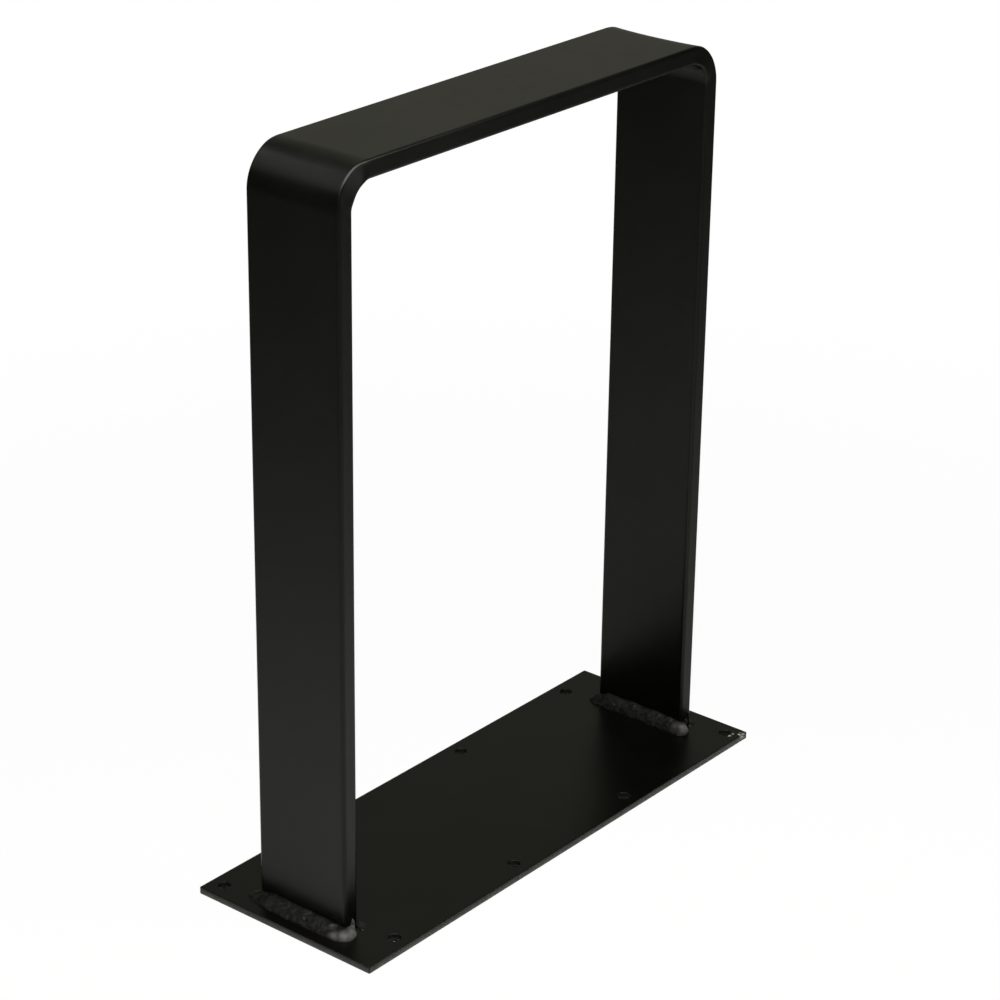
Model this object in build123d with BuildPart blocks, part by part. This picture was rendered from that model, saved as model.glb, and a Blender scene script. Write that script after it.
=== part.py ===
from build123d import *
import os

# Table leg: a U frame bent from one solid flat bar, both ends fillet-welded to a thin screw plate.
# It stands on its plate, as it does before fitting: in use it is turned over, with the plate
# screwed under the table top and the cross run of the U on the floor.
# Millimetres. The origin is the centre of the plate's underside, X runs along the plate, Z is up.

os.makedirs("parts", exist_ok=True)

# Flat bar and the U that it is bent into
bar_width = 60.0
bar_thickness = 10.0
bar_edge_radius = 2.0
bend_inner_radius = 13.0
frame_length = 300.0  # over the outer faces of the two uprights
leg_height = 415.0  # from the plate's underside to the outer face of the cross run

# Screw plate
plate_thickness = 4.0
plate_end_margin = 15.0  # plate beyond each upright's outer face
plate_side_margin = 30.0  # plate beyond each edge of the bar
plate_edge_break = 0.3  # small chamfer left by deburring

# Screw holes: two rows, each the other turned half a turn about the plate's centre
hole_diameter = 7.0
holes_per_row = 4
hole_side_margin = 9.0  # from a row to the plate's long edge
hole_near_margin = 9.5  # from a row's first hole to the plate's near end
hole_far_margin = 29.5  # from a row's last hole to the plate's far end

# Fillet welds: a convex bead on each wide face of each upright, with round ends past the bar's edges
outer_weld_reach = 9.0  # out along the plate
outer_weld_rise = 5.2  # up the bar
outer_weld_crown = 1.0  # bulge of the bead's face beyond a straight slope
inner_weld_reach = 6.0
inner_weld_rise = 8.0
inner_weld_crown = 1.0
weld_overrun = 6.0  # bead past each edge of the bar
weld_end_gap = 1.0  # bare strip between the two beads on the bar's narrow edge

# Places worked out from the sizes above
plate_length = frame_length + 2 * plate_end_margin
plate_width = bar_width + 2 * plate_side_margin
upright_x = (frame_length - bar_thickness) / 2
cross_run_z = leg_height - bar_thickness / 2
bend_middle_radius = bend_inner_radius + bar_thickness / 2
hole_row_y = plate_width / 2 - hole_side_margin
first_hole_x = plate_length / 2 - hole_near_margin
hole_pitch = (plate_length - hole_near_margin - hole_far_margin) / (holes_per_row - 1)

# Bent bar: the bar's rounded section swept along the middle of its thickness
with BuildPart() as bent_bar:
    with BuildLine(Plane.XZ):
        FilletPolyline(
            (-upright_x, plate_thickness),
            (-upright_x, cross_run_z),
            (upright_x, cross_run_z),
            (upright_x, plate_thickness),
            radius=bend_middle_radius,
        )
    with BuildSketch(Plane.XY.offset(plate_thickness)):
        with Locations((-upright_x, 0)):
            RectangleRounded(bar_thickness, bar_width, bar_edge_radius)
    sweep()

bent_bar.part.label = "bent_bar"
export_step(bent_bar.part, "parts/bent_bar.step")

# Mounting plate: a sheared rectangle with plain screw holes
front_row = [(first_hole_x - hole_pitch * i, -hole_row_y) for i in range(holes_per_row)]
back_row = [(-x, -y) for x, y in front_row]

with BuildPart() as mounting_plate:
    with BuildSketch():
        Rectangle(plate_length, plate_width)
    extrude(amount=plate_thickness)
    chamfer(mounting_plate.edges(), plate_edge_break)
    with BuildSketch():
        with Locations(*front_row, *back_row):
            Circle(hole_diameter / 2)
    extrude(amount=plate_thickness, mode=Mode.SUBTRACT)

mounting_plate.part.label = "mounting_plate"
export_step(mounting_plate.part, "parts/mounting_plate.step")

# Weld beads: name, the side of the part that the upright stands on, the way that the welded face looks
# along X, and the bead's reach, rise and crown
weld_beads = [
    ("weld_left_outer", -1, -1, outer_weld_reach, outer_weld_rise, outer_weld_crown),
    ("weld_left_inner", -1, 1, inner_weld_reach, inner_weld_rise, inner_weld_crown),
    ("weld_right_inner", 1, -1, inner_weld_reach, inner_weld_rise, inner_weld_crown),
    ("weld_right_outer", 1, 1, outer_weld_reach, outer_weld_rise, outer_weld_crown),
]

for weld_name, side, outward, reach, rise, crown in weld_beads:
    face_x = side * upright_x + outward * bar_thickness / 2
    toe_x = face_x + outward * reach
    end_x = side * upright_x + outward * weld_end_gap / 2
    round_end_y = bar_width / 2 + weld_overrun - reach
    bead_top_z = plate_thickness + rise

    with BuildPart() as bead:
        # Half of the bead, from its round end to the middle of the bar's width
        with BuildSketch(Plane.XZ.offset(round_end_y)) as section:
            with BuildLine():
                Polyline((face_x, bead_top_z), (face_x, plate_thickness), (toe_x, plate_thickness))
                SagittaArc((toe_x, plate_thickness), (face_x, bead_top_z), -outward * crown)
            make_face()
        extrude(amount=-round_end_y)

        # Round end that wraps the bar's corner: the section turned about the bead's root
        revolve(section.sketch, axis=Axis((face_x, -round_end_y, 0), (0, 0, 1)))
        mirror(about=Plane.XZ)

        # The bead lies against the bar and stops short of the bead on the bar's other face
        split(bisect_by=Plane((end_x, 0, 0), z_dir=(outward, 0, 0)), keep=Keep.TOP)
        add(bent_bar.part, mode=Mode.SUBTRACT)

    bead.part.label = weld_name
    export_step(bead.part, f"parts/{weld_name}.step")
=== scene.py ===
import math

import bmesh
import bpy
from mathutils import Matrix, Vector, noise


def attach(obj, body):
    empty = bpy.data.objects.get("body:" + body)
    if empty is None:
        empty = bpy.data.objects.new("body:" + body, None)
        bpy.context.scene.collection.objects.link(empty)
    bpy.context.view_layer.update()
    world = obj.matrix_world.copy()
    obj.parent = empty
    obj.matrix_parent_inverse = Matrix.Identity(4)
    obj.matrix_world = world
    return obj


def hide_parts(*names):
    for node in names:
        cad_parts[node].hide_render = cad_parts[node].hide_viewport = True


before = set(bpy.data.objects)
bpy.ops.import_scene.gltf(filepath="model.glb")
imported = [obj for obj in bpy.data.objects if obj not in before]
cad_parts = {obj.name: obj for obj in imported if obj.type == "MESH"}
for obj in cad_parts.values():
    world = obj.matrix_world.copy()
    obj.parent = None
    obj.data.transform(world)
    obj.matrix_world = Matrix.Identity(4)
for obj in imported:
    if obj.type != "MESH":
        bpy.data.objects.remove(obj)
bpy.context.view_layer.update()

# Table leg: a U of flat steel bar welded to a screw plate, all powder-coated satin black.
# Metres, in the frame of the CAD part: the origin is the centre of the plate's underside and Z is up.

MM = 0.001

# Sizes of the solids, which the pieces below follow
BAR_WIDTH = 60 * MM
BAR_THICKNESS = 10 * MM
BAR_EDGE_RADIUS = 2 * MM
BEND_MIDDLE_RADIUS = 18 * MM
UPRIGHT_X = 145 * MM
CROSS_RUN_Z = 410 * MM
PLATE_LENGTH = 330 * MM
PLATE_WIDTH = 120 * MM
PLATE_THICKNESS = 4 * MM
HOLE_RADIUS = 3.5 * MM
HOLE_ROW_Y = 51 * MM
FIRST_HOLE_X = 155.5 * MM
HOLE_PITCH = 97 * MM
HOLES_PER_ROW = 4


def smooth_step(x):
    """0 below 0, 1 above 1, and an easy curve between."""
    x = min(max(x, 0.0), 1.0)
    return x * x * (3 - 2 * x)


def make_object(name, bm):
    """An object with this mesh, in the scene."""
    bmesh.ops.recalc_face_normals(bm, faces=bm.faces[:])
    mesh = bpy.data.meshes.new(name)
    bm.to_mesh(mesh)
    bm.free()
    piece = bpy.data.objects.new(name, mesh)
    bpy.context.scene.collection.objects.link(piece)
    return piece


def join_rings(bm, rings, smooth):
    """Faces between each ring of points and the next."""
    for a, b in zip(rings, rings[1:]):
        for i in range(len(a)):
            j = (i + 1) % len(a)
            face = bm.faces.new((a[i], a[j], b[j], b[i]))
            face.smooth = smooth


def stands_for(piece, node, material):
    """The piece rides on the part, takes the node's place and wears the material."""
    piece.data.materials.append(material)
    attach(piece, "root")
    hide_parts(node)


# Bent bar

SADDLE = 0.9 * MM  # how far a bend's edges stand proud of its middle
BEND_SWELL = 1.0 * MM  # how far a bend's inner side is pressed out past the bar's width
SWELL_POWER = 5  # how closely the swelling keeps to the bar's edges
BEND_EDGE_RADIUS = 1.2 * MM  # the outer edges, drawn sharper by the bend
BEND_EASE = math.radians(28)  # turn over which the form of a bend fades in and out


def bar_outline(outer_radius):
    """The bar's rounded section in order, as (out through the thickness, across the width)."""
    half_t, half_w = BAR_THICKNESS / 2, BAR_WIDTH / 2
    arc_steps = 7
    narrow = (0.05, 0.5, 0.95)
    wide = (0.008, 0.08, 0.18, 0.29, 0.4, 0.5, 0.6, 0.71, 0.82, 0.92, 0.992)
    corners = [
        (1, 1, outer_radius),
        (-1, 1, BAR_EDGE_RADIUS),
        (-1, -1, BAR_EDGE_RADIUS),
        (1, -1, outer_radius),
    ]
    arcs = []
    for k, (sign_t, sign_w, radius) in enumerate(corners):
        arc = []
        for i in range(arc_steps + 1):
            turn = math.radians(90 * (k + i / arc_steps))
            arc.append(Vector((
                sign_t * (half_t - radius) + radius * math.cos(turn),
                sign_w * (half_w - radius) + radius * math.sin(turn),
            )))
        arcs.append(arc)
    points = []
    for k, shares in enumerate((narrow, wide, narrow, wide)):
        start, end = arcs[k][-1], arcs[(k + 1) % 4][0]
        points += arcs[k] + [start.lerp(end, share) for share in shares]
    return points


def bar_stations():
    """Along the bar's middle from foot to foot: place, outward direction and share of full bend."""
    upright_steps, bend_steps, half_cross_steps = 12, 72, 6
    bend_z = CROSS_RUN_Z - BEND_MIDDLE_RADIUS
    bend_x = UPRIGHT_X - BEND_MIDDLE_RADIUS
    stations = []
    for i in range(upright_steps):
        z = PLATE_THICKNESS + (bend_z - PLATE_THICKNESS) * i / upright_steps
        stations.append((Vector((-UPRIGHT_X, 0, z)), Vector((-1, 0, 0)), 0.0))
    for i in range(bend_steps + 1):
        turn = math.pi / 2 * i / bend_steps
        out = Vector((-math.cos(turn), 0, math.sin(turn)))
        bend = smooth_step(turn / BEND_EASE) * smooth_step((math.pi / 2 - turn) / BEND_EASE)
        stations.append((Vector((-bend_x, 0, bend_z)) + out * BEND_MIDDLE_RADIUS, out, bend))
    for i in range(1, half_cross_steps + 1):
        x = -bend_x + bend_x * i / half_cross_steps
        stations.append((Vector((x, 0, CROSS_RUN_Z)), Vector((0, 0, 1)), 0.0))
    for place, out, bend in reversed(stations[:-1]):
        stations.append((Vector((-place.x, 0, place.z)), Vector((-out.x, 0, out.z)), bend))
    return stations


def build_bar(material):
    """The bent bar, with the slight saddle and swelling that bending leaves in a flat bar."""
    bm = bmesh.new()
    rings = []
    for place, out, bend in bar_stations():
        ring = []
        outline = bar_outline(BAR_EDGE_RADIUS + (BEND_EDGE_RADIUS - BAR_EDGE_RADIUS) * bend)
        for depth, across in outline:
            share = across / (BAR_WIDTH / 2)
            level = depth / (BAR_THICKNESS / 2)
            # A third is the mean of the square across the width, so the mean thickness stays
            lift = SADDLE * bend * (share * share - 1 / 3) * (level + 1) / 2
            swell = -BEND_SWELL * bend * share ** SWELL_POWER * level
            point = place + out * (depth + lift)
            ring.append(bm.verts.new((point.x, across + swell, point.z)))
        rings.append(ring)
    join_rings(bm, rings, True)
    for ring in (rings[0], rings[-1]):
        for edge in bm.faces.new(ring).edges:
            edge.smooth = False
    piece = make_object("coated_bar", bm)
    stands_for(piece, "bent_bar", material)


# Screw plate

PLATE_EDGE_ROUND = 0.45 * MM
PLATE_CORNER_RADIUS = 0.8 * MM
HOLE_RIM_ROUND = 0.4 * MM
HOLE_TAPER = 0.35 * MM  # how much narrower a hole is at the underside, where coat has gathered


def upper_edge(radius):
    """A rounded upper edge, from the top face to the side, as (back from the edge, height)."""
    steps = 5
    points = []
    for i in range(steps + 1):
        turn = math.radians(90 * i / steps)
        height = PLATE_THICKNESS - radius + radius * math.cos(turn)
        points.append((radius - radius * math.sin(turn), height))
    return points


def rim_profile():
    """The plate's side: rounded above and below."""
    upper = upper_edge(PLATE_EDGE_ROUND)
    return upper + [(inset, PLATE_THICKNESS - height) for inset, height in reversed(upper)]


def hole_profile():
    """A hole's wall: rounded above, and a little narrower towards the underside."""
    wall = [(-HOLE_TAPER * 0.5, PLATE_THICKNESS / 2), (-HOLE_TAPER, 0.0)]
    return upper_edge(HOLE_RIM_ROUND) + wall


def hole_centres():
    """Where the screw holes are: two rows, each the other turned half a turn."""
    front = [(FIRST_HOLE_X - HOLE_PITCH * i, -HOLE_ROW_Y) for i in range(HOLES_PER_ROW)]
    return front + [(-x, -y) for x, y in front]


def rim_ring(inset, height):
    """Points round the plate's rim, this far in from its sides."""
    steps = 4
    middle_x = PLATE_LENGTH / 2 - PLATE_CORNER_RADIUS
    middle_y = PLATE_WIDTH / 2 - PLATE_CORNER_RADIUS
    reach = PLATE_CORNER_RADIUS - inset
    ring = []
    for k, (sx, sy) in enumerate([(1, 1), (-1, 1), (-1, -1), (1, -1)]):
        for i in range(steps + 1):
            turn = math.radians(90 * k + 90 * i / steps)
            x = sx * middle_x + reach * math.cos(turn)
            y = sy * middle_y + reach * math.sin(turn)
            ring.append((x, y, height))
    return ring


def hole_ring(x, y, inset, height):
    """Points round a screw hole, this far out from its radius."""
    steps = 40
    reach = HOLE_RADIUS + inset
    turns = [2 * math.pi * j / steps for j in range(steps)]
    return [(x + reach * math.cos(turn), y + reach * math.sin(turn), height) for turn in turns]


def plate_rings():
    """The rings of the rim and of each hole, from the top face to the underside."""
    groups = [[rim_ring(inset, height) for inset, height in rim_profile()]]
    for x, y in hole_centres():
        groups.append([hole_ring(x, y, inset, height) for inset, height in hole_profile()])
    return groups


def build_plate(material):
    """The screw plate, with softly rounded edges and hole rims."""
    bm = bmesh.new()
    caps = {0: [], -1: []}
    for group in plate_rings():
        rings = [[bm.verts.new(point) for point in ring] for ring in group]
        join_rings(bm, rings, True)
        for end, edges in caps.items():
            ring = rings[end]
            edges += [bm.edges.get((a, b)) for a, b in zip(ring, ring[1:] + ring[:1])]
    for edges in caps.values():
        bmesh.ops.triangle_fill(bm, edges=edges, use_beauty=True, normal=(0, 0, 1))
    piece = make_object("coated_plate", bm)
    stands_for(piece, "mounting_plate", material)


# Weld beads

WELD_SINK = 0.5 * MM  # how far a bead reaches into the bar and the plate, so that no gap shows
NOTCH_DEPTH, NOTCH_WIDTH = 0.15 * MM, 0.8 * MM  # dip of a bead's face where it meets the bar
TOE_POWER, TOP_POWER = 1.6, 0.95  # how full a bead's face is: 1 and 1 would be a straight slope
WELD_WANDER = 0.05  # share by which a bead's width and height vary along it
WANDER_LENGTH = 8 * MM
WELD_VOXEL = 0.4 * MM
SMOOTH_ROUNDS, SMOOTH_FACTOR = 7, 0.5
GRAIN = ((3.2 * MM, 0.16 * MM), (1.7 * MM, 0.15 * MM), (0.9 * MM, 0.09 * MM))  # size and height
GRAIN_SHIFT = (7.3, 3.1, 5.7)  # for each bead's number, in hundredths of a metre
CALM_FROM, CALM_OVER = 0.9, 0.5  # in lump radii: where a lump's smoothness starts to fade
CALM_SHARE = 0.85  # share of the grain that is gone on a lump

OUTER_SIZES = (9 * MM, 5.2 * MM)  # reach along the plate and rise up the bar
INNER_SIZES = (6 * MM, 7.6 * MM)

# Node, side, way out, sizes, (front end, back end) and lumps as a place and radii.
# An end is its overrun past the bar's edge and its share of the bead's width and height.
WELDS = [
    ("weld_left_outer", -1, -1, OUTER_SIZES, ((6 * MM, 0.95, 0.88), (5.5 * MM, 0.85, 0.68)), [
        ((-0.1517, -0.0306, 0.0040), (0.0062, 0.0060, 0.0043)),
        ((-0.1555, -0.0275, 0.0042), (0.0031, 0.0072, 0.0028)),
        ((-0.1484, -0.0315, 0.0040), (0.0036, 0.0046, 0.0045)),
        ((-0.1453, -0.0310, 0.0075), (0.0009, 0.0017, 0.0048)),
    ]),
    ("weld_left_inner", -1, 1, INNER_SIZES, ((4.6 * MM, 0.9, 0.14), (4.5 * MM, 0.95, 0.75)), []),
    ("weld_right_inner", 1, -1, INNER_SIZES, ((5.5 * MM, 0.95, 0.8), (5 * MM, 0.95, 0.66)), [
        ((0.1388, -0.0300, 0.0060), (0.0040, 0.0064, 0.0048)),
        ((0.1438, -0.0310, 0.0078), (0.0012, 0.0017, 0.0036)),
    ]),
    ("weld_right_outer", 1, 1, OUTER_SIZES, ((2 * MM, 0.7, 0.4), (5 * MM, 0.9, 0.75)), []),
]


def bead_section(reach, rise):
    """A bead's section in order, as (out from the root, height): convex, with a notch at the bar."""
    steps = 24
    points = [(0.0, -WELD_SINK), (reach, -WELD_SINK)]
    for i in range(steps + 1):
        share = math.cos(math.pi / 2 * i / steps)
        beyond = max(reach * share - WELD_SINK, 0.0)
        notch = NOTCH_DEPTH * math.exp(-(beyond / NOTCH_WIDTH) ** 2)
        height = (rise - notch) * (1 - share ** TOE_POWER) ** TOP_POWER
        points.append((reach * share, height))
    return points


def bead_run(root_x, outward, end_y, ends, seed):
    """The straight part of a bead: root point, direction out from it, width and height."""
    step = 0.5 * MM
    tail_length = 8 * MM
    run_steps = int((end_y[1] - end_y[-1]) / step)
    run = []
    for i in range(run_steps + 1):
        y = end_y[-1] + (end_y[1] - end_y[-1]) * i / run_steps
        wander = WELD_WANDER * noise.noise(Vector((y / WANDER_LENGTH, seed, 0)))
        swell = WELD_WANDER * noise.noise(Vector((y / WANDER_LENGTH, seed, 9)))
        width, height = 1 + wander, 1 + swell
        for sign, (_, end_width, end_height) in ends.items():
            full = smooth_step(abs(y - end_y[sign]) / tail_length)
            width *= end_width + (1 - end_width) * full
            height *= end_height + (1 - end_height) * full
        run.append((Vector((root_x, y, 0)), Vector((outward, 0, 0)), width, height))
    return run


def bead_end(root_x, outward, y, sign, end_width, end_height):
    """A bead's round end, which turns about the root and sinks away round the bar's edge."""
    steps = 40
    full_turn, last_turn = math.radians(70), math.radians(112)
    least_height, narrowing = 0.08, 0.45
    end = []
    for i in range(1, steps + 1):
        turn = last_turn * i / steps
        past = max(turn - full_turn, 0) / (last_turn - full_turn)
        fall = max(math.sqrt(1 - past * past), least_height)
        out = Vector((outward * math.cos(turn), sign * math.sin(turn), 0))
        width = end_width * (1 - narrowing + narrowing * fall)
        end.append((Vector((root_x, y, 0)), out, width, end_height * fall))
    return end


def bead_stations(face_x, outward, reach, front, back, seed):
    """Along a bead from end to end: root point, direction out from it, width and height."""
    root_x = face_x - outward * WELD_SINK
    ends = {-1: front, 1: back}
    end_y = {}
    for sign, (overrun, width, _) in ends.items():
        end_y[sign] = sign * (BAR_WIDTH / 2 + overrun - reach * width)
    run = bead_run(root_x, outward, end_y, ends, seed)
    front_end = bead_end(root_x, outward, end_y[-1], -1, *run[0][2:])
    back_end = bead_end(root_x, outward, end_y[1], 1, *run[-1][2:])
    return front_end[::-1] + run + back_end


def bead_form(node, side, outward, sizes, ends, lumps, seed):
    """A bead's plain form: a ribbon of sections with balls for the lumps."""
    face_x = side * UPRIGHT_X + outward * BAR_THICKNESS / 2
    reach, rise = sizes
    bm = bmesh.new()
    section = bead_section(reach + WELD_SINK, rise)
    rings = []
    for root, out, width, height in bead_stations(face_x, outward, reach, *ends, seed):
        ring = []
        for across, level in section:
            point = root + out * across * width
            lift = level * height if level > 0 else level
            ring.append(bm.verts.new((point.x, point.y, PLATE_THICKNESS + lift)))
        rings.append(ring)
    join_rings(bm, rings, False)
    bm.faces.new(rings[0])
    bm.faces.new(rings[-1])
    for place, radii in lumps:
        spot = Matrix.Translation(Vector(place)) @ Matrix.Diagonal((*radii, 1))
        ball = bmesh.ops.create_icosphere(bm, subdivisions=4, radius=1, matrix=spot)
        for vert in ball["verts"]:
            vert.co.z = max(vert.co.z, PLATE_THICKNESS - WELD_SINK)
    return make_object(node + "_form", bm)


def melted(form):
    """The form's parts run together into one smooth closed mesh. The form is removed."""
    remesh = form.modifiers.new("remesh", "REMESH")
    remesh.mode = "VOXEL"
    remesh.voxel_size = WELD_VOXEL
    graph = bpy.context.evaluated_depsgraph_get()
    bm = bmesh.new()
    bm.from_mesh(form.evaluated_get(graph).to_mesh())
    bpy.data.objects.remove(form)
    axes = {"use_axis_x": True, "use_axis_y": True, "use_axis_z": True}
    for _ in range(SMOOTH_ROUNDS):
        bmesh.ops.smooth_vert(bm, verts=bm.verts[:], factor=SMOOTH_FACTOR, **axes)
    bm.normal_update()
    return bm


def bead_grain(where, seed):
    """Height of a bead's blotches and grain at a point."""
    shift = Vector([seed * step for step in GRAIN_SHIFT])
    height = 0.0
    for size, amount in GRAIN:
        height += amount * noise.noise(where / size + shift / size * 0.01)
    return height


def calmness(where, lumps):
    """1 on a lump, and 0 away from all of them."""
    calm = 0.0
    for place, radii in lumps:
        gap = math.hypot(*(a / r for a, r in zip(where - Vector(place), radii)))
        calm = max(calm, 1 - smooth_step((gap - CALM_FROM) / CALM_OVER))
    return calm


def build_weld(node, side, outward, sizes, ends, lumps, seed, material):
    """One weld bead: a grainy ribbon with round ends and smooth lumps where the weld stopped."""
    bm = melted(bead_form(node, side, outward, sizes, ends, lumps, seed))
    for vert, normal in [(v, v.normal.copy()) for v in bm.verts]:
        calm = calmness(vert.co, lumps)
        vert.co += normal * bead_grain(vert.co, seed) * (1 - CALM_SHARE * calm)
    for face in bm.faces:
        face.smooth = True
    piece = make_object("bead_" + node[len("weld_"):], bm)
    stands_for(piece, node, material)


# Materials

class Nodes:
    """Short ways to add and link a material's nodes."""

    def __init__(self, tree):
        self.tree = tree

    def add(self, kind, **inputs):
        node = self.tree.nodes.new(kind)
        for name, value in inputs.items():
            node.inputs[name.replace("_", " ")].default_value = value
        return node

    def link(self, out, to):
        self.tree.links.new(out, to)

    def place(self):
        """Where a point is on the object."""
        return self.add("ShaderNodeTexCoord").outputs["Object"]

    def split(self, place):
        """The X, Y and Z of a place."""
        node = self.add("ShaderNodeSeparateXYZ")
        self.link(place, node.inputs["Vector"])
        return node.outputs

    def noise(self, place, scale, detail=2.0, roughness=0.5):
        node = self.add("ShaderNodeTexNoise", Scale=scale, Detail=detail, Roughness=roughness)
        self.link(place, node.inputs["Vector"])
        return node.outputs["Fac"]

    def spread(self, value, low, high, to_low=0.0, to_high=1.0, curve="LINEAR"):
        """The value's range from low to high, spread over another range."""
        limits = {"From_Min": low, "From_Max": high, "To_Min": to_low, "To_Max": to_high}
        node = self.add("ShaderNodeMapRange", **limits)
        node.interpolation_type = curve
        self.link(value, node.inputs["Value"])
        return node.outputs["Result"]

    def math(self, operation, a, b=None):
        node = self.add("ShaderNodeMath")
        node.operation = operation
        for socket, value in zip(node.inputs, (a, b)):
            if value is None:
                continue
            if isinstance(value, (int, float)):
                socket.default_value = value
            else:
                self.link(value, socket)
        return node.outputs[0]

    def vector(self, operation, a, b=None):
        """A step of vector arithmetic on a socket and, where given, a fixed vector."""
        node = self.add("ShaderNodeVectorMath")
        node.operation = operation
        self.link(a, node.inputs[0])
        if b is not None:
            node.inputs[1].default_value = b
        return node.outputs

    def mix(self, factor, a, b):
        node = self.add("ShaderNodeMix")
        node.data_type = "RGBA"
        self.link(factor, node.inputs["Factor"])
        for name, value in (("A", a), ("B", b)):
            socket = next(s for s in node.inputs if s.name == name and s.type == "RGBA")
            if isinstance(value, tuple):
                socket.default_value = value
            else:
                self.link(value, socket)
        return next(s for s in node.outputs if s.type == "RGBA")

    def near(self, place, spots, soft):
        """1 within a spot's radius, falling to 0 over the soft distance."""
        total = None
        for centre, radius in spots:
            away = self.vector("DISTANCE", place, centre)["Value"]
            spot = self.spread(away, radius, radius + soft, 1.0, 0.0)
            total = spot if total is None else self.math("MAXIMUM", total, spot)
        return total

    def bump(self, height, strength, distance):
        node = self.add("ShaderNodeBump", Strength=strength, Distance=distance)
        self.link(height, node.inputs["Height"])
        return node.outputs["Normal"]

    def surface(self, factor, first, second, output):
        """The first shader, mixed with the second by the factor, as the output's surface."""
        both = self.add("ShaderNodeMixShader")
        self.link(factor, both.inputs["Fac"])
        self.link(first, both.inputs[1])
        self.link(second, both.inputs[2])
        self.link(both.outputs["Shader"], self.add(output).inputs["Surface"])


COAT_DARK = (0.0010, 0.0010, 0.0008, 1)
COAT_LIGHT = (0.0021, 0.0021, 0.0017, 1)
COAT_SPECULAR = 0.2
CLOUD_SCALE = 28.0
PEEL_SCALE, PEEL_DEPTH = 420.0, 0.06 * MM
GLOSS_SCALE, GLOSS_RANGE = 120.0, 0.014
BAR_ROUGHNESS, BAR_PEEL = 0.295, 0.05
PLATE_ROUGHNESS, PLATE_PEEL = 0.32, 0.06
WELD_ROUGHNESS = 0.42

# Painted light from the white floor on the plate's cut sides, and painted light on the walls of its
# screw holes
PAINTED_EDGE_LIGHT = (0.085, 0.083, 0.076, 1)
CUT_FOOT, CUT_HEAD = 0.4 * MM, 3.6 * MM  # heights on a cut side over which the painted floor light fades
CUT_HEAD_SHARE = 0.1
HOLE_PAINTED_LIGHT = 0.14
STREAK_SCALE = 160.0
# Colour of the pale spots near the plate's front corner, some of them painted highlights
PALE_SPOT_COLOUR = (0.42, 0.41, 0.37, 1)
PALE_SPOT_SOFT, PALE_SPOT_SCALE = 0.8 * MM, 900.0

WELD_DARK = (0.0012, 0.0012, 0.0010, 1)
WELD_LIGHT = (0.0125, 0.0123, 0.0113, 1)
BLOTCH_SCALE = 400.0
# Painted highlights on the lumps at the welds' ends, with their spread and patchiness
WELD_PAINTED_HIGHLIGHT = (0.096, 0.093, 0.090, 1)
HIGHLIGHT_SOFT, HIGHLIGHT_SCALE = 3.8 * MM, 500.0
GRAIN_SCALE, GRAIN_STRENGTH, GRAIN_DEPTH = 900.0, 0.6, 0.15 * MM

# Spots as a place and a radius
# Pale spots near the plate's front corner; the second and third, on the near rim of the corner hole, are
# painted highlights
PLATE_PALE_SPOTS = [
    ((0.1603, -0.0594, 0.0038), 1.9 * MM),
    ((0.1545, -0.0548, 0.0040), 0.7 * MM),
    ((0.1579, -0.0551, 0.0040), 0.5 * MM),
    ((0.1645, -0.0585, 0.0030), 0.8 * MM),
]
# Painted highlights on the weld lumps
WELD_HIGHLIGHT_SPOTS = [
    ((-0.1502, -0.0358, 0.0055), 2.4 * MM),
    ((-0.1545, -0.0335, 0.0055), 1.6 * MM),
    ((-0.1570, -0.0285, 0.0048), 1.0 * MM),
    ((-0.1453, -0.0325, 0.0095), 1.2 * MM),
    ((0.1378, -0.0352, 0.0072), 2.4 * MM),
    ((0.1370, -0.0290, 0.0075), 0.2 * MM),
]


def new_material(name):
    """A material with node access, its shader and the place on the object."""
    material = bpy.data.materials.new(name)
    material.use_nodes = True
    nodes = Nodes(material.node_tree)
    shader = material.node_tree.nodes["Principled BSDF"]
    shader.inputs["Specular IOR Level"].default_value = COAT_SPECULAR
    return material, nodes, shader.inputs, nodes.place()


def coat_bumps(nodes, place, peel):
    """The fine orange peel of powder coat."""
    return nodes.bump(nodes.noise(place, PEEL_SCALE, 1.0), peel, PEEL_DEPTH)


def coat_colour(nodes, place):
    """Black with a faint olive cast and a slightly cloudy tone."""
    clouds = nodes.noise(place, CLOUD_SCALE, 3.0)
    return nodes.mix(nodes.spread(clouds, 0.3, 0.7), COAT_DARK, COAT_LIGHT)


def coat_gloss(nodes, place, roughness):
    """Satin gloss, a little uneven."""
    clouds = nodes.noise(place, GLOSS_SCALE)
    return nodes.spread(clouds, 0.25, 0.75, roughness - GLOSS_RANGE, roughness + GLOSS_RANGE)


def bar_material():
    """Satin black powder coat on rolled flat bar."""
    material, nodes, shader, place = new_material("bar_powder_coat")
    nodes.link(coat_colour(nodes, place), shader["Base Color"])
    nodes.link(coat_gloss(nodes, place, BAR_ROUGHNESS), shader["Roughness"])
    nodes.link(coat_bumps(nodes, place, BAR_PEEL), shader["Normal"])
    return material


def cut_side_painted_light(nodes, place):
    """0 on the plate's faces, and up to 1 towards the foot of its four sheared sides, where the floor's
    light is painted.
    """
    axes = nodes.split(place)
    past = []
    for axis, half in (("X", PLATE_LENGTH / 2), ("Y", PLATE_WIDTH / 2)):
        distance = nodes.math("ABSOLUTE", axes[axis])
        past.append(nodes.spread(distance, half - PLATE_EDGE_ROUND * 0.7, half))
    lower = nodes.spread(axes["Z"], CUT_FOOT, CUT_HEAD, 1.0, CUT_HEAD_SHARE)
    return nodes.math("MULTIPLY", nodes.math("MAXIMUM", *past), lower)


def holes_painted_light(nodes, place):
    """A low share of painted light on the walls of the screw holes and 0 beyond their rims."""
    flat = nodes.vector("MULTIPLY", place, (1, 1, 0))["Vector"]
    spots = [((x, y, 0), HOLE_RADIUS) for x, y in hole_centres()]
    inside = nodes.near(flat, spots, HOLE_RIM_ROUND)
    return nodes.math("MULTIPLY", inside, HOLE_PAINTED_LIGHT)


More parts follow.
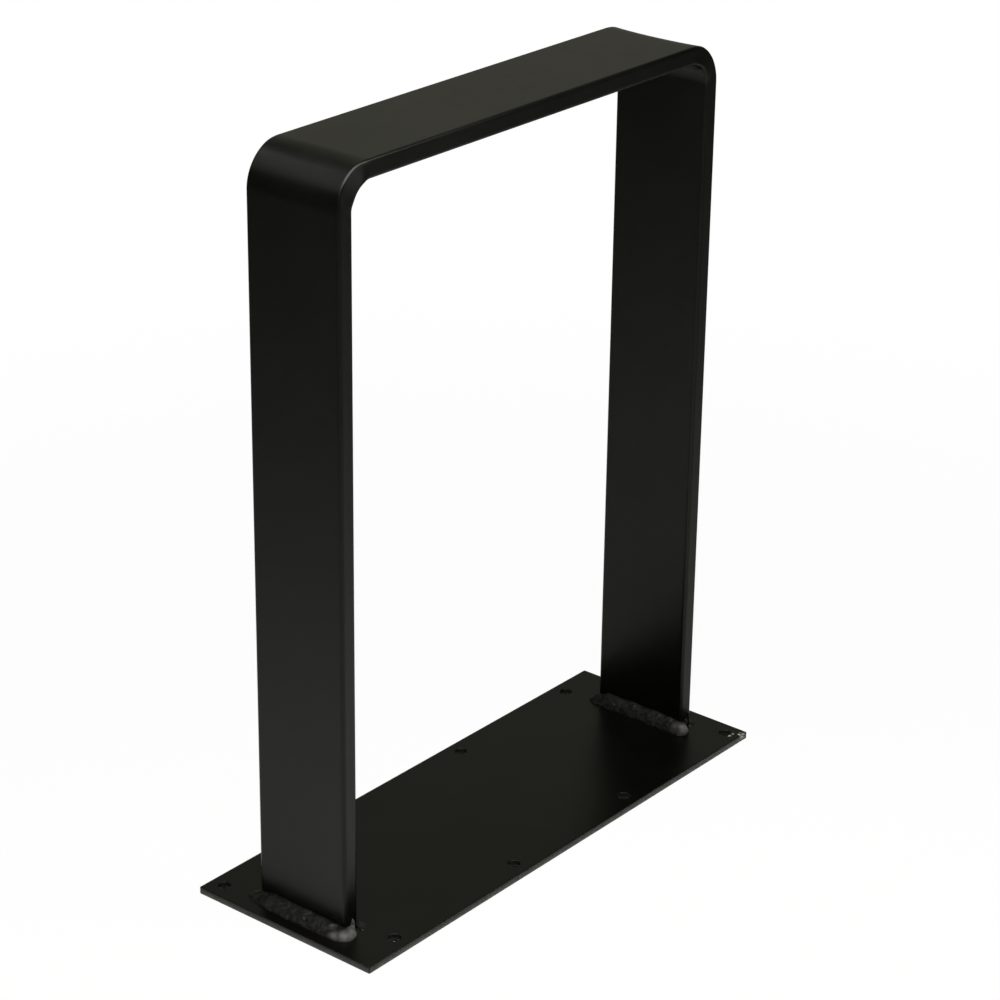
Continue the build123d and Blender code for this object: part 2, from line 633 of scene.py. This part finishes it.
def plate_material():
    """The same coat on sheared plate, with painted light on the cut sides and in the holes, and pale
    spots at a corner, some of them painted highlights on a hole's rim.
    """
    material, nodes, shader, place = new_material("plate_powder_coat")
    streaks = nodes.spread(nodes.noise(place, STREAK_SCALE, 3.0, 0.6), 0.3, 0.7, 0.55, 1.0)
    # Painted light on the cut sides and in the holes, streaked at random
    cuts = nodes.math("MAXIMUM", cut_side_painted_light(nodes, place), holes_painted_light(nodes, place))
    painted_light_share = nodes.math("MULTIPLY", cuts, streaks)
    colour = nodes.mix(painted_light_share, coat_colour(nodes, place), PAINTED_EDGE_LIGHT)
    ragged = nodes.spread(nodes.noise(place, PALE_SPOT_SCALE, 2.0, 0.6), 0.42, 0.56)
    # Pale spots at the corner, ragged at their edges, with painted highlights on the hole's rim
    pale_spots = nodes.math("MULTIPLY", nodes.near(place, PLATE_PALE_SPOTS, PALE_SPOT_SOFT), ragged)
    nodes.link(nodes.mix(pale_spots, colour, PALE_SPOT_COLOUR), shader["Base Color"])
    nodes.link(coat_gloss(nodes, place, PLATE_ROUGHNESS), shader["Roughness"])
    nodes.link(coat_bumps(nodes, place, PLATE_PEEL), shader["Normal"])
    return material


def weld_material():
    """The coat over rough weld metal: mottled and duller, with painted highlights on the lumps at the
    ends.
    """
    material, nodes, shader, place = new_material("weld_powder_coat")
    blotches = nodes.spread(nodes.noise(place, BLOTCH_SCALE, 4.0, 0.65), 0.40, 0.66)
    colour = nodes.mix(blotches, WELD_DARK, WELD_LIGHT)
    # Painted highlights on the lumps, patchy
    highlight_mask = nodes.near(place, WELD_HIGHLIGHT_SPOTS, HIGHLIGHT_SOFT)
    patchy = nodes.spread(nodes.noise(place, HIGHLIGHT_SCALE), 0.3, 0.7, 0.75, 1.0)
    highlighted_colour = nodes.mix(nodes.math("MULTIPLY", highlight_mask, patchy), colour, WELD_PAINTED_HIGHLIGHT)
    nodes.link(highlighted_colour, shader["Base Color"])
    nodes.link(coat_gloss(nodes, place, WELD_ROUGHNESS), shader["Roughness"])
    grain = nodes.bump(nodes.noise(place, GRAIN_SCALE, 3.0, 0.7), GRAIN_STRENGTH, GRAIN_DEPTH)
    nodes.link(grain, shader["Normal"])
    return material


# Floor and room

PLAIN_WHITE = (1, 1, 1, 1)
FLOOR_SIZE = 8.0
FLOOR_DROP = 0.3 * MM
FLOOR_WHITE = (0.85, 0.85, 0.85, 1)
FLOOR_PAINTED_SHADE = (0.45, 0.45, 0.45, 1)  # painted shade under the plate, where it shows through the holes
COVER_INSET = 2 * MM  # how far in from the plate's sides the covered floor starts
WHITE_SHARE = 0.96  # share of plain white that the camera sees near the part, the rest lit and shaded
SHADOW_REACH = (0.25, 0.9)  # distances over which the floor turns fully white
GLOSSY_SHARE = 0.06  # share of plain white that the coat mirrors besides the lit floor


def white_factor(nodes, share):
    """How much of the plain white background a ray sees."""
    path = nodes.add("ShaderNodeLightPath").outputs
    direct = nodes.math("MAXIMUM", path["Is Camera Ray"], path["Is Transmission Ray"])
    direct = nodes.math("MULTIPLY", direct, share)
    mirrored = nodes.math("MULTIPLY", path["Is Glossy Ray"], GLOSSY_SHARE)
    return nodes.math("MAXIMUM", direct, mirrored)


def beyond_plate(nodes, place):
    """1 on the floor around the plate and 0 under it."""
    axes = nodes.split(place)
    past = []
    for axis, half in (("X", PLATE_LENGTH / 2), ("Y", PLATE_WIDTH / 2)):
        distance = nodes.math("ABSOLUTE", axes[axis])
        past.append(nodes.math("GREATER_THAN", distance, half - COVER_INSET))
    return nodes.math("MAXIMUM", *past)


def floor_whiteness(nodes, place):
    """The camera's share of plain white: lower around the part, where its shadow falls."""
    away = nodes.vector("LENGTH", place)["Value"]
    return nodes.spread(away, *SHADOW_REACH, WHITE_SHARE, 1.0)


def floor_material():
    """Plain white that keeps the part's shadow, with painted shade under the plate."""
    material = bpy.data.materials.new("floor_white")
    material.use_nodes = True
    material.node_tree.nodes.clear()
    nodes = Nodes(material.node_tree)
    place = nodes.place()
    open_floor = beyond_plate(nodes, place)
    matt = nodes.add("ShaderNodeBsdfDiffuse")
    # Painted shade on the floor under the plate
    nodes.link(nodes.mix(open_floor, FLOOR_PAINTED_SHADE, FLOOR_WHITE), matt.inputs["Color"])
    plain = nodes.add("ShaderNodeEmission", Color=PLAIN_WHITE, Strength=1.0)
    seen = white_factor(nodes, floor_whiteness(nodes, place))
    white = nodes.math("MULTIPLY", seen, open_floor)
    nodes.surface(white, matt.outputs["BSDF"], plain.outputs["Emission"], "ShaderNodeOutputMaterial")
    return material


def build_floor():
    """A plain white floor."""
    half = FLOOR_SIZE / 2
    corners = [(x * half, y * half, -FLOOR_DROP) for x, y in ((-1, -1), (1, -1), (1, 1), (-1, 1))]
    mesh = bpy.data.meshes.new("floor")
    mesh.from_pydata(corners, [], [(0, 1, 2, 3)])
    mesh.materials.append(floor_material())
    floor = bpy.data.objects.new("floor", mesh)
    bpy.context.scene.collection.objects.link(floor)


GLOW_AZIMUTH, GLOW_ELEVATION = math.radians(42), math.radians(20)
GLOW_EDGE, GLOW_HEART = 0.80, 0.975  # cosines of the angle from the glow's middle
GLOW_STRENGTH = 0.228
GLOW_COLOUR = (1.0, 0.985, 0.74, 1)


def build_world():
    """A dim room that is paler at the back of the stage, and plain white to the camera."""
    world = bpy.data.worlds.new("studio")
    bpy.context.scene.world = world
    world.use_nodes = True
    world.node_tree.nodes.clear()
    nodes = Nodes(world.node_tree)
    flat = math.cos(GLOW_ELEVATION)
    middle = (
        flat * math.cos(GLOW_AZIMUTH),
        flat * math.sin(GLOW_AZIMUTH),
        math.sin(GLOW_ELEVATION),
    )
    way = nodes.add("ShaderNodeTexCoord").outputs["Generated"]
    towards = nodes.vector("DOT_PRODUCT", way, middle)["Value"]
    glow = nodes.spread(towards, GLOW_EDGE, GLOW_HEART, 0.0, GLOW_STRENGTH, "SMOOTHSTEP")
    room = nodes.add("ShaderNodeBackground", Color=GLOW_COLOUR)
    nodes.link(glow, room.inputs["Strength"])
    plain = nodes.add("ShaderNodeBackground", Color=PLAIN_WHITE, Strength=1.0)
    seen = white_factor(nodes, 1.0)
    nodes.surface(seen, room.outputs["Background"], plain.outputs["Background"], "ShaderNodeOutputWorld")


# Lamps and camera

LAMP_COLOUR = (1.0, 0.99, 0.93)

# Name, place, point that it faces, size, turn about its own axis in degrees, and radiance
LAMPS = [
    ("key", (-0.225, -0.15, 0.70), (-0.225, -0.15, 0), (0.62, 0.36), -63, 8.7),
    ("side", (0.09, -0.27, 0.70), (0.09, -0.27, 0), (0.22, 0.22), 0, 7.0),
    ("right", (0.60, -1.33, 0.48), (-0.145, -0.03, 0.40), (0.5, 0.5), 0, 2.0),
    ("front", (-0.80, -0.66, 0.70), (-0.80, -0.66, 0), (0.5, 0.5), 0, 2.0),
    ("fill", (-0.682, 0.812, 1.06), (0, 0, 0.2), (0.48, 0.48), 0, 0.9),
]


def build_lamp(name, place, aim, size, turn, radiance):
    """A soft box that faces the aim point."""
    lamp = bpy.data.lights.new(name, "AREA")
    lamp.shape = "RECTANGLE"
    lamp.size, lamp.size_y = size
    lamp.energy = radiance * math.pi * size[0] * size[1]
    lamp.color = LAMP_COLOUR
    holder = bpy.data.objects.new(name, lamp)
    facing = (Vector(aim) - Vector(place)).to_track_quat("-Z", "Y").to_matrix().to_4x4()
    spin = Matrix.Rotation(math.radians(turn), 4, "Z")
    holder.matrix_world = Matrix.Translation(place) @ facing @ spin
    holder.visible_camera = False
    bpy.context.scene.collection.objects.link(holder)


VIEW_AZIMUTH, VIEW_ELEVATION, VIEW_ROLL = map(math.radians, (-50.885, 24.07, 0.803))
VIEW_DISTANCE = 1.70189
VIEW_RIGHT, VIEW_UP = 0.0051353, 0.173238  # eye's offset across and up the view
FRAME_PIXELS = 1000
FOCAL_PIXELS = 3065.24
SENSOR_WIDTH = 36  # millimetres, as the camera's settings want it


def build_camera():
    """The camera at the photograph's viewing angle."""
    flat = math.cos(VIEW_ELEVATION)
    back = Vector((
        math.sin(VIEW_AZIMUTH) * flat,
        -math.cos(VIEW_AZIMUTH) * flat,
        math.sin(VIEW_ELEVATION),
    ))
    right = Vector((math.cos(VIEW_AZIMUTH), math.sin(VIEW_AZIMUTH), 0))
    up = back.cross(right)
    eye = back * VIEW_DISTANCE + right * VIEW_RIGHT + up * VIEW_UP
    across = right * math.cos(VIEW_ROLL) + up * math.sin(VIEW_ROLL)
    upward = up * math.cos(VIEW_ROLL) - right * math.sin(VIEW_ROLL)
    lens = bpy.data.cameras.new("camera")
    lens.sensor_width = SENSOR_WIDTH
    lens.lens = SENSOR_WIDTH * FOCAL_PIXELS / FRAME_PIXELS
    camera = bpy.data.objects.new("camera", lens)
    axes = Matrix((across, upward, back)).transposed().to_4x4()
    camera.matrix_world = Matrix.Translation(eye) @ axes
    bpy.context.scene.collection.objects.link(camera)
    bpy.context.scene.camera = camera


build_bar(bar_material())
build_plate(plate_material())
weld_coat = weld_material()
for seed, (node, side, outward, sizes, ends, lumps) in enumerate(WELDS, 1):
    build_weld(node, side, outward, sizes, ends, lumps, seed, weld_coat)
build_floor()
build_world()
for lamp_values in LAMPS:
    build_lamp(*lamp_values)
build_camera()
bpy.context.scene.view_settings.view_transform = "Standard"
